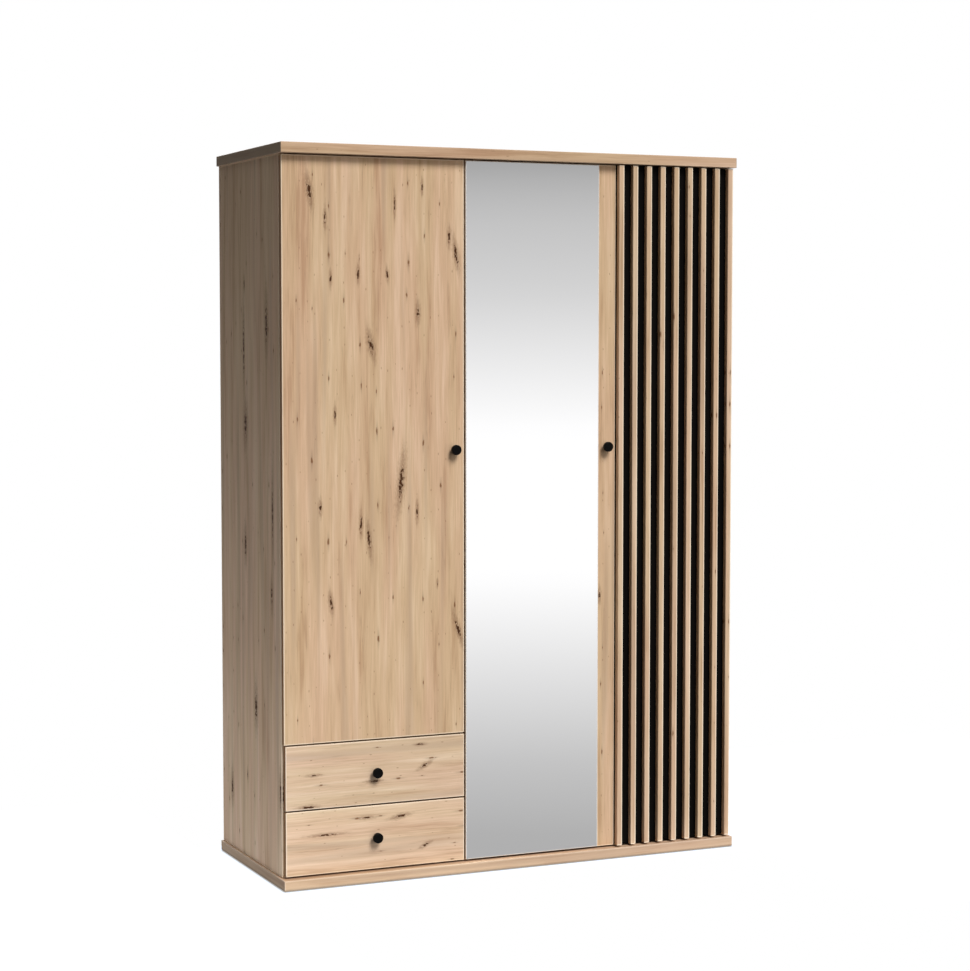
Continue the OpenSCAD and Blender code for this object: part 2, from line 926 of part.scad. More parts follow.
module runner_screw(x, direction, length) {
    bar_x([x, 0, 0], 3.2, direction * 1);
    bar_x([x, 0, 0], 1.72, -direction * length);
}

module cabinet_runners() {
    color(steel) for (level = [0, 1]) {
        at_runners(level) {
            difference() {
                channel(cabinet_member, drawer_l);
                for (y = runner_screws) {
                    bar_x([-1, y, 0], 1.9, 4);
                }
            }
            for (y = runner_screws) {
                translate([0, y, 0]) runner_screw(runner_t, 1, runner_t + 11);
            }
        }
    }
}

module middle_runners(level) {
    color(steel) at_runners(level) channel(middle_member, drawer_l - 20);
}

module drawer_runners(level) {
    color(steel) at_runners(level) {
        difference() {
            channel(drawer_member, drawer_l - 6);
            for (y = runner_screws) {
                bar_x([runner_w - 4, y, 0], 1.9, 5);
            }
        }
        for (y = runner_screws) {
            translate([0, y, 0]) runner_screw(runner_w - runner_t, -1, runner_t + 9);
        }
    }
}

module upper_middle_runners() {
    middle_runners(1);
}

module lower_middle_runners() {
    middle_runners(0);
}

module upper_drawer_runners() {
    drawer_runners(1);
}

module lower_drawer_runners() {
    drawer_runners(0);
}

// ---- Drawers ----

module drawer_front(level, knob_place) {
    z = drawer_z(level);
    color(oak) difference() {
        board([drawer_front_x0, face_y, z], [door_x1[LEFT], door_back_y, z + drawer_front_h]);
        bottom_groove(level);
        knob_bore(knob_place);
    }
}

// The groove for the bottom sheet, cut into the front and both sides
module bottom_groove(level) {
    z = box_z(level) + bottom_lift;
    block([drawer_x0 + drawer_t - groove - 0.3, door_back_y - groove - 0.3, z - 0.1],
          [drawer_x1 - drawer_t + groove + 0.3, drawer_y1 + 1, z + drawer_bottom_t + 0.1]);
}

module drawer_side(level, x) {
    color(drawer_board) difference() {
        board([x, door_back_y, box_z(level)], [x + drawer_t, drawer_y1, box_z(level) + drawer_side_h]);
        bottom_groove(level);
        for (y = runner_screws, side = [-1, drawer_t + 1]) {
            bar_x([x + side, runner_y + y, runner_z(level)], 1.75, side < 0 ? 11 : -11);
        }
    }
}

module drawer_back(level) {
    z = box_z(level) + bottom_lift + drawer_bottom_t + 0.1;
    color(drawer_board)
        board([drawer_x0 + drawer_t, drawer_y1 - drawer_t, z],
              [drawer_x1 - drawer_t, drawer_y1, box_z(level) + drawer_side_h]);
}

module drawer_bottom(level) {
    z = box_z(level) + bottom_lift;
    color(hardboard)
        block([drawer_x0 + drawer_t - groove, door_back_y - groove, z],
              [drawer_x1 - drawer_t + groove, drawer_y1, z + drawer_bottom_t]);
}

module upper_drawer_front() {
    drawer_front(1, knob_upper);
}

module upper_drawer_left_side() {
    drawer_side(1, drawer_x0);
}

module upper_drawer_right_side() {
    drawer_side(1, drawer_x1 - drawer_t);
}

module upper_drawer_back() {
    drawer_back(1);
}

module upper_drawer_bottom() {
    drawer_bottom(1);
}

module upper_drawer_knob() {
    knob_at(knob_upper);
}

module lower_drawer_front() {
    drawer_front(0, knob_lower);
}

module lower_drawer_left_side() {
    drawer_side(0, drawer_x0);
}

module lower_drawer_right_side() {
    drawer_side(0, drawer_x1 - drawer_t);
}

module lower_drawer_back() {
    drawer_back(0);
}

module lower_drawer_bottom() {
    drawer_bottom(0);
}

module lower_drawer_knob() {
    knob_at(knob_lower);
}

// ---- Assembly ----

top_board();
base_board();
left_side_panel();
right_side_panel();
partition();
drawer_shelf();
shelf_lower();
shelf_middle();
shelf_upper();
hat_shelf();
shelf_pins();
hanging_rail();
rail_sockets();
back_panel_left();
back_panel_middle();
back_panel_right();
back_joint_strip();
back_nails();
cam_locks();
cam_bolts();
wood_dowels();
floor_glides();
wall_brackets();
door_buffers();
hinge_plates();
hinge_arms();
cabinet_runners();
left_door_panel();
left_door_knob();
left_door_hinge_cups();
left_door_hinge_links();
mirror_door_panel();
mirror_glass();
mirror_tape();
mirror_door_knob();
mirror_door_hinge_cups();
mirror_door_hinge_links();
slatted_door_panel();
door_slats();
slatted_door_hinge_cups();
slatted_door_hinge_links();
upper_drawer_front();
upper_drawer_left_side();
upper_drawer_right_side();
upper_drawer_back();
upper_drawer_bottom();
upper_drawer_knob();
upper_drawer_runners();
upper_middle_runners();
lower_drawer_front();
lower_drawer_left_side();
lower_drawer_right_side();
lower_drawer_back();
lower_drawer_bottom();
lower_drawer_knob();
lower_drawer_runners();
lower_middle_runners();
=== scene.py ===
"""Looks for the wardrobe: materials, floor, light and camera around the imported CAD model."""

import json
import math

import bpy
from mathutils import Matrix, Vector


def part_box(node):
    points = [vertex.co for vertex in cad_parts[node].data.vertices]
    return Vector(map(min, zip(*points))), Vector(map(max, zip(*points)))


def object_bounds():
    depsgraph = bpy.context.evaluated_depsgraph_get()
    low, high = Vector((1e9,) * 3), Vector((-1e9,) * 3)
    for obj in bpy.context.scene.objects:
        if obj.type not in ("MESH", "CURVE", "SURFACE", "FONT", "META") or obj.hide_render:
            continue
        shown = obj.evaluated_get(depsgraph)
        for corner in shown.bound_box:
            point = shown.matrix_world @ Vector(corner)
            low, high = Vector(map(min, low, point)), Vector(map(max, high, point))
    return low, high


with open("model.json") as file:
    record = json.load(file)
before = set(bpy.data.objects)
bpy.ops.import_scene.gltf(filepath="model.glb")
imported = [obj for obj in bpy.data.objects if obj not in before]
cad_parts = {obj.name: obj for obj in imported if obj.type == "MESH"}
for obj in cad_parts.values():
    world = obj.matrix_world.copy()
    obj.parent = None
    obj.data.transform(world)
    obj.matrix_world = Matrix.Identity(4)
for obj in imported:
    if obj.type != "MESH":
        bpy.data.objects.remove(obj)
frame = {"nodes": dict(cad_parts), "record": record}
cad_low, cad_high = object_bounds()


# ---- Node trees ----

# The colour sockets of a Mix node: names don't tell them from those for numbers
MIX_SHARE, MIX_FIRST, MIX_SECOND = 0, 6, 7
MIX_RESULT = 2


class Value:
    """A number in a node tree. Python's operators on it add Math nodes to the tree."""

    def __init__(self, tree, socket):
        self.tree = tree
        self.socket = socket

    def __add__(self, other):
        return self.tree.math("ADD", self, other)

    __radd__ = __add__

    def __sub__(self, other):
        return self.tree.math("SUBTRACT", self, other)

    def __rsub__(self, other):
        return self.tree.math("SUBTRACT", other, self)

    def __mul__(self, other):
        return self.tree.math("MULTIPLY", self, other)

    def __truediv__(self, other):
        return self.tree.math("DIVIDE", self, other)

    def __gt__(self, other):
        return self.tree.math("GREATER_THAN", self, other)

    def __lt__(self, other):
        return self.tree.math("LESS_THAN", self, other)

    def __abs__(self):
        return self.tree.math("ABSOLUTE", self)

    def floor(self):
        return self.tree.math("FLOOR", self)

    def fraction(self):
        return self.tree.math("FRACT", self)


class Tree:
    """Builds the node tree of one material, with short calls for the nodes used here."""

    def __init__(self, name):
        self.material = bpy.data.materials.new(name)
        self.material.use_nodes = True
        self.nodes = self.material.node_tree.nodes
        self.links = self.material.node_tree.links
        self.shader = self.nodes["Principled BSDF"]
        self.coordinates = self.nodes.new("ShaderNodeTexCoord")

    def set(self, socket, value):
        if isinstance(value, Value):
            self.links.new(value.socket, socket)
        else:
            socket.default_value = value

    def surface(self, **values):
        """Sets the shader's sockets, named in lower case with underscores."""
        for name, value in values.items():
            socket = name.replace("_", " ").title().replace("Ior", "IOR")
            self.set(self.shader.inputs[socket], value)

    def node(self, kind, values=(), **settings):
        made = self.nodes.new(kind)
        for name, setting in settings.items():
            setattr(made, name, setting)
        for socket, value in values:
            self.set(made.inputs[socket], value)
        return made

    def math(self, operation, *values):
        made = self.node("ShaderNodeMath", enumerate(values), operation=operation)
        return Value(self, made.outputs[0])

    def split(self, socket):
        """The three parts of a vector or colour."""
        made = self.node("ShaderNodeSeparateXYZ")
        self.links.new(socket, made.inputs[0])
        return [Value(self, out) for out in made.outputs]

    def position(self):
        """The place on the piece at rest, in metres."""
        return self.split(self.coordinates.outputs["Object"])

    def normal(self):
        return self.split(self.coordinates.outputs["Normal"])

    def vector(self, x, y, z=0.0):
        made = self.node("ShaderNodeCombineXYZ", enumerate((x, y, z)))
        return Value(self, made.outputs[0])

    def length(self, x, y):
        made = self.node("ShaderNodeVectorMath", [(0, self.vector(x, y))], operation="LENGTH")
        return Value(self, made.outputs["Value"])

    def step(self, value, start, end):
        """A smooth step, 0 at start and 1 at end."""
        made = self.node(
            "ShaderNodeMapRange",
            [("Value", value), ("From Min", start), ("From Max", end)],
            interpolation_type="SMOOTHSTEP",
        )
        return Value(self, made.outputs["Result"])

    def blend(self, share, first, second):
        """The number that goes from first to second as share goes from 0 to 1."""
        return share * (second - first) + first

    def noise(self, vector, detail=2.0, roughness=0.5, dimensions="2D"):
        made = self.node(
            "ShaderNodeTexNoise",
            [("Vector", vector), ("Scale", 1.0), ("Detail", detail), ("Roughness", roughness)],
            noise_dimensions=dimensions,
        )
        return Value(self, made.outputs[0])

    def random(self, first, second):
        """Four random numbers that stay the same over one pair of whole numbers."""
        made = self.node(
            "ShaderNodeTexWhiteNoise",
            [("Vector", self.vector(first, second))],
            noise_dimensions="2D",
        )
        return [Value(self, made.outputs["Value"]), *self.split(made.outputs["Color"])]

    def mix(self, share, first, second, blend_type="MIX"):
        """A mix of two colours, given as (red, green, blue) or as values."""
        colours = [c if isinstance(c, Value) else (*c, 1.0) for c in (first, second)]
        made = self.node(
            "ShaderNodeMix",
            [(MIX_SHARE, share), (MIX_FIRST, colours[0]), (MIX_SECOND, colours[1])],
            data_type="RGBA",
            blend_type=blend_type,
        )
        return Value(self, made.outputs[MIX_RESULT])

    def tint(self, colour, amount):
        """The colour with its brightness multiplied by a number."""
        made = self.node(
            "ShaderNodeVectorMath", [(0, colour), ("Scale", amount)], operation="SCALE"
        )
        return Value(self, made.outputs[0])

    def solid_noise(self, scales, detail=2.0, roughness=0.5):
        """Noise all through a piece, with the scale along X, Y and Z in cycles per metre."""
        scaled = [place * scale for place, scale in zip(self.position(), scales)]
        return self.noise(self.vector(*scaled), detail, roughness, "3D")

    def cells(self, scale):
        """A Voronoi pattern of so many cells per metre, as a node with its outputs."""
        place = self.vector(*self.position())
        return self.node("ShaderNodeTexVoronoi", [("Vector", place), ("Scale", scale)])

    def openness(self, reach):
        """1 where nothing stands within reach of the surface, going to 0 in corners. Only the
        floor uses it: the export would fix a piece's colour with its neighbours at rest."""
        made = self.node("ShaderNodeAmbientOcclusion", [("Distance", reach)], samples=6)
        return Value(self, made.outputs["AO"])

    def bump(self, height, distance):
        """Raises the surface by height, where 1 stands for distance in metres."""
        made = self.node("ShaderNodeBump", [("Height", height), ("Distance", distance)])
        self.links.new(made.outputs[0], self.shader.inputs["Normal"])


# ---- Oak decor ----

OAK_DARK = (0.485, 0.305, 0.183)
OAK_MID = (0.610, 0.420, 0.268)
OAK_LIGHT = (0.690, 0.500, 0.340)
OAK_PINK = (1.015, 0.985, 0.985)
OAK_YELLOW = (0.990, 1.005, 0.960)
STREAK_BROWN = (0.430, 0.293, 0.192)
KNOT_BROWN = (0.205, 0.095, 0.042)
KNOT_BLACK = (0.050, 0.015, 0.004)
# Painted shade: the dark brown put on the side faces of the doors and drawer fronts, for the
# shade in the gaps between them
PAINTED_GAP_SHADE = (0.38, 0.25, 0.15)
# Painted highlight: the pale colour of the line that runs along each edge of an oak face
EDGE_HIGHLIGHT = (0.930, 0.760, 0.560)

# Painted highlight: the pale line is full up to the first distance from an edge, and gone at the
# second
EDGE_HIGHLIGHT_FULL = 0.0024
EDGE_HIGHLIGHT_GONE = 0.0036
# Painted shade: the board darkens from the second height down to the first, where it meets the
# floor
FOOT_DARKEST = 0.001
FOOT_CLEAR = 0.010
FOOT_SHADE = 0.62
# How far the grain wanders sideways, in metres
WANDER = 0.007
# The share of a pitch that keeps a slat's own left edge in its period
PERIOD_SLACK = 0.001

# Knots strewn over a board: the cell of their grid, the share of cells that have one, and half
# a knot's width and length. Pairs are across and along the grain, in metres.
MEDIUM_KNOTS = ((0.115, 0.30), 0.20, (0.0030, 0.0110))
SMALL_KNOTS = ((0.046, 0.110), 0.42, (0.0026, 0.0075))
TICKS = ((0.021, 0.055), 0.35, (0.0011, 0.0036))
SMALL_KNOTS_SEED = 40
TICKS_SEED = 80

# Each board is cut from another place of the pattern: metres across and along, per seed
CUT_ACROSS = 1.37
CUT_ALONG = 2.91

# The noises that draw the grain: cycles per metre across it, a shift that keeps two noises
# apart, cycles per metre along it, and detail
GRAIN_NOISES = {
    "planks": (11.0, 0.0, 0.5, 1.0),
    "patches": (34.0, 0.0, 2.6, 2.0),
    "bands": (90.0, 0.0, 3.0, 2.0),
    "fine": (280.0, 0.0, 9.0, 3.0),
    "fibres": (1000.0, 0.0, 40.0, 2.0),
    "hue": (14.0, 7.0, 1.2, 1.0),
    "heart": (30.0, 31.0, 0.9, 1.0),
    "ragged": (260.0, 0.0, 95.0, 2.0),
    "flecks": (340.0, 9.0, 120.0, 2.0),
}
# How much each of them lightens or darkens the wood
TONE_WEIGHTS = {"planks": 0.55, "patches": 0.80, "bands": 0.42, "fine": 0.34}


def lay_grain(tree, grain):
    """Metres across and along the grain of a board whose grain runs along that axis, and
    whether the face lies across the grain."""
    x, y, z = tree.position()
    normal_x, _, normal_z = tree.normal()
    if grain == "z":
        face, end, turned = (x + y, z), (y, x), abs(normal_z)
    else:
        face, end, turned = (y + z, x), (z, y), abs(normal_x)
    is_end = turned > 0.5
    return *[tree.blend(is_end, *pair) for pair in zip(face, end)], is_end


def knot_field(tree, off_across, off_along, half):
    """How far a point is from a knot in knot sizes, its streak along the grain, and the bend
    that the knot gives to the grain."""
    wide, long = half
    streak_wide, streak_long = wide * 2.2, long * 5.5
    distance = tree.length(off_across / wide, off_along / long)
    in_streaks = tree.length(off_across / streak_wide, off_along / streak_long)
    streak = tree.step(in_streaks, 1.0, 0.1)
    return distance, streak, off_across * streak * -0.55


def placed_knot(tree, across, along, knot, low, grain):
    """A knot given as (right, back, up, half width, half length, lean): its place in metres from
    the board's lowest corner, its size in metres, and its slant as metres across per metre."""
    right, back, up, wide, long, lean = knot
    x, y, z = low.x + right, low.y + back, low.z + up
    at_across, at_along = (x + y, z) if grain == "z" else (y + z, x)
    off_along = along - at_along
    off_across = across - at_across + off_along * lean
    return knot_field(tree, off_across, off_along, (wide, long))


def scattered_knots(tree, across, along, kind, knotty, seed):
    """Knots in a share of the cells of a loose grid, each in its own place and size."""
    cell, share, half = kind
    column = across / cell[0]
    column_index = column.floor() + seed
    # Each column of cells starts at a height of its own
    rows_up = tree.random(column_index, 0.5)[0] * 31.7
    row = along / cell[1] + rows_up
    chance, jitter_across, jitter_along, size = tree.random(column_index, row.floor())
    off_across = (column.fraction() - 0.5 - (jitter_across - 0.5) * 0.5) * cell[0]
    off_along = (row.fraction() - 0.5 - (jitter_along - 0.5) * 0.5) * cell[1]
    shrink = size * 0.65 + 0.35
    distance, streak, bend = knot_field(tree, off_across / shrink, off_along / shrink, half)
    present = chance < share * knotty
    far_away = (1 - present) * 99.0
    return distance + far_away, streak * present, bend * present


def join_knots(tree, fields):
    """The nearest knot's distance, the strongest streak, and all bends together."""
    distance, streak, bend = fields[0]
    for next_distance, next_streak, next_bend in fields[1:]:
        distance = tree.math("MINIMUM", distance, next_distance)
        streak = tree.math("MAXIMUM", streak, next_streak)
        bend = bend + next_bend
    return distance, streak, bend


def grain_noises(tree, across, along, bend):
    """The noises of the grain, which wanders a little on its way and bends round the knots."""
    sideways = tree.noise(tree.vector(across * 9.0, along * 2.6)) - 0.5
    line = across + sideways * WANDER + bend
    return {
        name: tree.noise(tree.vector(line * by_width + shift, along * by_length), detail)
        for name, (by_width, shift, by_length, detail) in GRAIN_NOISES.items()
    }


def grain_colour(tree, noise, streak, small_streak):
    """Oak without its knots: dark to light bands, pink to yellow planks, brown hearts, fine
    dark veins and fibres, and darker streaks above and below each knot."""
    tone = sum((noise[name] - 0.5) * weight for name, weight in TONE_WEIGHTS.items())
    colour = tree.mix(tree.step(tone, -0.36, -0.02), OAK_DARK, OAK_MID)
    colour = tree.mix(tree.step(tone, -0.04, 0.30), colour, OAK_LIGHT)
    warmth = tree.mix(tree.step(noise["hue"], 0.35, 0.65), OAK_PINK, OAK_YELLOW)
    colour = tree.mix(1.0, colour, warmth, "MULTIPLY")
    heart = tree.step(noise["heart"] + noise["fine"] * 0.14, 0.62, 0.84)
    colour = tree.mix(heart * 0.55, colour, STREAK_BROWN)
    on_vein = tree.step(abs(noise["bands"] - 0.5), 0.022, 0.0)
    vein = on_vein * tree.step(noise["patches"], 0.50, 0.36)
    shade = 1.0 + (noise["fibres"] - 0.5) * 0.10 + (noise["fine"] - 0.5) * 0.14 - vein * 0.12
    return tree.tint(colour, shade - streak * 0.20 - small_streak * 0.22)


def add_knots(tree, colour, noise, distance, small, ticks):
    """Paints the knots: a brown halo, pale flecks, brown dots, and ragged black specks that
    crowd at the middle. Returns the colour, and how deep the surface is open at them."""
    ragged = noise["ragged"] - 0.5
    flecks = noise["flecks"] - 0.5
    halo = tree.step(distance + ragged * 3.2, 4.0, 0.4)
    core = tree.step(distance + ragged * 3.4, 1.25, 0.60)
    pale = tree.step(distance + flecks * 7.0, 0.75, 0.30)
    small_dots = tree.step(small + ragged * 2.0, 1.5, 0.5)
    tick_dots = tree.step(ticks + ragged, 1.4, 0.6) * 0.65
    dots = tree.math("MAXIMUM", small_dots, tick_dots)
    colour = tree.mix(halo * 0.52, colour, KNOT_BROWN)
    colour = tree.mix(pale * 0.45, colour, OAK_LIGHT)
    colour = tree.mix(dots * 0.92, colour, KNOT_BROWN)
    colour = tree.mix(core * 0.95, colour, KNOT_BLACK)
    return colour, core + dots * 0.5


def arris_distance(tree, low, high, period=None):
    """Distance to the nearest edge of a box, on the box's surface. With a period of (pitch,
    width), the box is a row of equal ones along X, and only their edges on the right count."""
    x, y, z = tree.position()
    from_low = [x - low.x, y - low.y, z - low.z]
    from_high = [high.x - x, high.y - y, high.z - z]
    near = [tree.math("MINIMUM", *pair) for pair in zip(from_low, from_high)]
    if period:
        pitch, width = period
        near[0] = width - (from_low[0] / pitch + PERIOD_SLACK).fraction() * pitch
    low_pair = tree.math("MINIMUM", near[0], near[1])
    high_pair = tree.math("MAXIMUM", near[0], near[1])
    return tree.math("MAXIMUM", low_pair, tree.math("MINIMUM", high_pair, near[2]))


def oak(
    name, grain, seed, knots=(), knotty=1.0, highlight_line=0.75, cast=(1, 1, 1), end_tone=1.0,
    gap_shade_cast=(1, 1, 1), period=None,
):
    """Knotty oak decor under a satin lacquer, with a painted highlight line round each face.
    Knotty scales the share of scattered knots, the line strength sets that painted highlight,
    the cast tints the whole board (on the drawer fronts it is painted light), end_tone is the
    brightness of its faces across the grain, and the side cast is painted shade that darkens
    every face turned away from the front and back, as in the gaps between the fronts."""
    tree = Tree("oak_" + name)
    low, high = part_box(name)
    across, along, is_end = lay_grain(tree, grain)
    placed = [placed_knot(tree, across, along, knot, low, grain) for knot in knots]
    across = across + seed * CUT_ACROSS
    along = along + seed * CUT_ALONG
    medium = scattered_knots(tree, across, along, MEDIUM_KNOTS, knotty, seed)
    small, small_streak, _ = scattered_knots(
        tree, across, along, SMALL_KNOTS, knotty, seed + SMALL_KNOTS_SEED
    )
    ticks, _, _ = scattered_knots(tree, across, along, TICKS, knotty, seed + TICKS_SEED)
    distance, streak, bend = join_knots(tree, [*placed, medium])

    noise = grain_noises(tree, across, along, bend)
    colour = grain_colour(tree, noise, streak, small_streak)
    colour, holes = add_knots(tree, colour, noise, distance, small, ticks)

    # Painted highlight: a pale line along every edge of the face, where the arris would catch
    # the light
    highlight_mask = tree.step(arris_distance(tree, low, high, period), EDGE_HIGHLIGHT_GONE, EDGE_HIGHLIGHT_FULL)
    colour = tree.mix(highlight_mask * highlight_line, colour, EDGE_HIGHLIGHT)
    # The cast is the board's own tint; on the drawer fronts it is painted light
    colour = tree.mix(1.0, colour, cast, "MULTIPLY")
    # Painted shade: faces turned away from the front and back are darkened by the side cast, for
    # the shade in the gaps
    is_side = abs(tree.normal()[1]) < 0.5
    colour = tree.mix(is_side, colour, gap_shade_cast, "MULTIPLY")
    # Painted shade along the foot of the board, where it meets the floor
    foot_shadow = tree.step(tree.position()[2], FOOT_CLEAR, FOOT_DARKEST)
    colour = tree.tint(colour, tree.blend(is_end, 1.0, end_tone) * (1 - foot_shadow * FOOT_SHADE))
    tree.surface(
        base_color=colour,
        roughness=0.52 + (noise["fine"] - 0.5) * 0.16 + holes * 0.15,
        specular_ior_level=0.06,
    )
    tree.bump(noise["fibres"] * 0.35 + noise["fine"] * 0.4 - holes, 0.00025)
    return tree.material


# ---- Other boards ----


def black_board(name):
    """Matt black melamine with the fine pearl of a pressed sheet."""
    tree = Tree(name)
    x, y, z = tree.position()
    pearl = tree.noise(tree.vector(x * 1400.0, z * 900.0, y * 1400.0), 2.0, 0.5, "3D")
    cloud = tree.noise(tree.vector(x * 9.0, z * 3.0, y * 9.0), 2.0, 0.5, "3D")
    colour = tree.mix(cloud, (0.0022, 0.0018, 0.0015), (0.0042, 0.0035, 0.0030))
    tree.surface(
        base_color=colour, roughness=0.56 + (pearl - 0.5) * 0.2, specular_ior_level=0.035
    )
    tree.bump(pearl, 0.00012)
    return tree.material


def hardboard(name):
    """Brown hardboard: matted fibres, darker flecks and a smooth pressed face."""
    tree = Tree(name)
    matted = tree.solid_noise((900.0, 900.0, 900.0), 4.0, 0.6)
    cloud = tree.solid_noise((6.0, 6.0, 6.0), 3.0)
    fleck = tree.step(tree.solid_noise((260.0, 260.0, 90.0)), 0.62, 0.74)
    colour = tree.mix(matted, (0.300, 0.205, 0.128), (0.430, 0.312, 0.205))
    colour = tree.tint(colour, cloud * 0.3 + 0.85)
    colour = tree.mix(fleck * 0.5, colour, (0.150, 0.090, 0.050))
    tree.surface(base_color=colour, roughness=0.55 + matted * 0.2, specular_ior_level=0.3)
    tree.bump(matted, 0.00015)
    return tree.material


def drawer_board(name):
    """Pale melamine with a faint linen press."""
    tree = Tree(name)
    x, y, z = tree.position()
    linen = tree.noise(tree.vector(y * 260.0, z * 1500.0, x * 1500.0), 2.0, 0.5, "3D")
    cloud = tree.noise(tree.vector(y * 3.0, z * 22.0, x * 22.0), 2.0, 0.5, "3D")
    colour = tree.mix(cloud * 0.5 + linen * 0.5, (0.640, 0.620, 0.585), (0.780, 0.765, 0.735))
    tree.surface(base_color=colour, roughness=0.42 + linen * 0.15, specular_ior_level=0.4)
    tree.bump(linen, 0.00008)
    return tree.material


def birch(name):
    """Raw birch dowel with its grooves."""
    tree = Tree(name)
    grain = tree.solid_noise((900.0, 900.0, 40.0))
    colour = tree.mix(grain, (0.520, 0.370, 0.220), (0.720, 0.570, 0.390))
    tree.surface(base_color=colour, roughness=0.75, specular_ior_level=0.2)
    tree.bump(grain, 0.0002)
    return tree.material


# ---- Glass, metal and plastic ----


def mirror_glass(name):
    """Silvered glass with a faint haze, and a pale ground edge of about 2 mm."""
    tree = Tree(name)
    edge = tree.step(arris_distance(tree, *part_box(name)), 0.0024, 0.0016)
    x, _, z = tree.position()
    haze = tree.noise(tree.vector(x * 14.0, z * 9.0), 4.0, 0.6)
    tree.surface(
        base_color=tree.mix(edge, (0.912, 0.910, 0.914), (0.800, 0.760, 0.710)),
        metallic=1 - edge,
        roughness=tree.step(haze, 0.45, 0.80) * 0.02 + edge * 0.30 + 0.004,
    )
    return tree.material


def powder_coat(name):
    """Satin black powder coat with a fine orange peel."""
    tree = Tree(name)
    peel = tree.solid_noise((1100.0, 1100.0, 1100.0))
    rub = tree.solid_noise((60.0, 60.0, 60.0), 3.0, 0.6)
    tree.surface(
        base_color=tree.mix(rub, (0.0012, 0.0011, 0.0011), (0.0030, 0.0028, 0.0026)),
        roughness=0.36 + rub * 0.14,
        specular_ior_level=0.06,
    )
    tree.bump(peel, 0.00010)
    return tree.material


def plated_steel(name, dark, light, rough, spangle):
    """Plated sheet steel: drawn lines along Y, and crystal spangles where spangle is over 0."""
    tree = Tree(name)
    drawn = tree.solid_noise((2600.0, 60.0, 2600.0))
    facet = tree.split(tree.cells(240.0).outputs["Color"])[0]
    share = drawn * (1 - spangle) + facet * spangle
    tree.surface(
        base_color=tree.mix(share, dark, light), metallic=1.0, roughness=rough + share * 0.16
    )
    tree.bump(drawn, 0.00004)
    return tree.material


def chrome(name):
    """Bright chrome with faint polishing marks and wiped spots."""
    tree = Tree(name)
    marks = tree.solid_noise((40.0, 900.0, 900.0), 3.0, 0.6)
    tree.surface(
        base_color=tree.mix(marks, (0.640, 0.650, 0.660), (0.760, 0.770, 0.780)),
        metallic=1.0,
        roughness=0.07 + tree.step(marks, 0.4, 0.8) * 0.12,
    )
    return tree.material


def moulded_plastic(name):
    """White moulded plastic with a fine spark texture."""
    tree = Tree(name)
    spark = tree.solid_noise((1500.0, 1500.0, 1500.0))
    tree.surface(
        base_color=tree.mix(spark, (0.740, 0.740, 0.720), (0.820, 0.820, 0.800)),
        roughness=0.45 + spark * 0.12,
        specular_ior_level=0.4,
    )
    tree.bump(spark, 0.00008)
    return tree.material


def foam_tape(name):
    """White foam tape with its open cells."""
    tree = Tree(name)
    cell = Value(tree, tree.cells(1600.0).outputs["Distance"])
    tree.surface(
        base_color=tree.mix(cell, (0.660, 0.650, 0.620), (0.860, 0.855, 0.835)),
        roughness=0.85,
        specular_ior_level=0.15,
    )
    tree.bump(cell, 0.0002)
    return tree.material


# ---- Which piece gets which material ----

# Knots that stand out, as (right, back, up, half width, half length, lean): see placed_knot
LEFT_DOOR_KNOTS = [
    (0.078, 0, 1.484, 0.0045, 0.018, 0.15),
    (0.123, 0, 1.410, 0.0022, 0.012, 0.0),
    (0.403, 0, 1.500, 0.0018, 0.009, 0.0),
    (0.323, 0, 1.450, 0.0017, 0.014, 0.0),
    (0.483, 0, 1.366, 0.0026, 0.011, 0.0),
    (0.503, 0, 1.320, 0.0038, 0.018, 0.15),
    (0.217, 0, 1.264, 0.0027, 0.010, 0.0),
    (0.301, 0, 1.262, 0.0023, 0.008, 0.10),
    (0.138, 0, 1.250, 0.0021, 0.009, 0.0),
    (0.253, 0, 1.073, 0.0048, 0.016, 0.20),
    (0.390, 0, 1.160, 0.0034, 0.012, 0.0),
    (0.340, 0, 0.700, 0.0052, 0.032, -0.10),
    (0.149, 0, 0.886, 0.0020, 0.010, 0.0),
    (0.223, 0, 0.588, 0.0026, 0.014, 0.0),
    (0.246, 0, 0.546, 0.0034, 0.020, 0.10),
    (0.387, 0, 0.618, 0.0022, 0.012, 0.0),
    (0.136, 0, 0.378, 0.0034, 0.012, 0.10),
    (0.509, 0, 0.288, 0.0042, 0.018, 0.30),
]
UPPER_FRONT_KNOTS = [
    (0.405, 0, 0.096, 0.0034, 0.008, -0.50),
    (0.255, 0, 0.063, 0.0024, 0.010, 0.0),
    (0.063, 0, 0.006, 0.0030, 0.012, 0.0),
    (0.080, 0, 0.092, 0.0018, 0.009, 0.0),
]
LOWER_FRONT_KNOTS = [
    (0.330, 0, 0.139, 0.0032, 0.012, -0.15),
    (0.117, 0, 0.106, 0.0020, 0.020, 0.0),
    (0.405, 0, 0.053, 0.0028, 0.007, -0.40),
    (0.232, 0, 0.143, 0.0020, 0.010, 0.0),
]
SIDE_PANEL_KNOTS = [
    (0, 0.290, 1.215, 0.0090, 0.026, 0.0),
    (0, 0.303, 1.423, 0.0045, 0.050, 0.0),
    (0, 0.106, 1.489, 0.0070, 0.034, 0.0),
    (0, 0.297, 0.882, 0.0060, 0.022, 0.0),
    (0, 0.064, 0.983, 0.0040, 0.050, 0.0),
    (0, 0.074, 0.759, 0.0050, 0.020, 0.0),
    (0, 0.214, 0.435, 0.0075, 0.026, 0.0),
    (0, 0.431, 0.175, 0.0060, 0.020, 0.0),
    (0, 0.008, 0.226, 0.0060, 0.026, 0.0),
]

# The slats are one node, so their width and number are repeated from the design
SLAT_WIDTH = 0.016
SLAT_COUNT = 9
slats_low, slats_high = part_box("door_slats")
slat_pitch = (slats_high.x - slats_low.x - SLAT_WIDTH) / (SLAT_COUNT - 1)

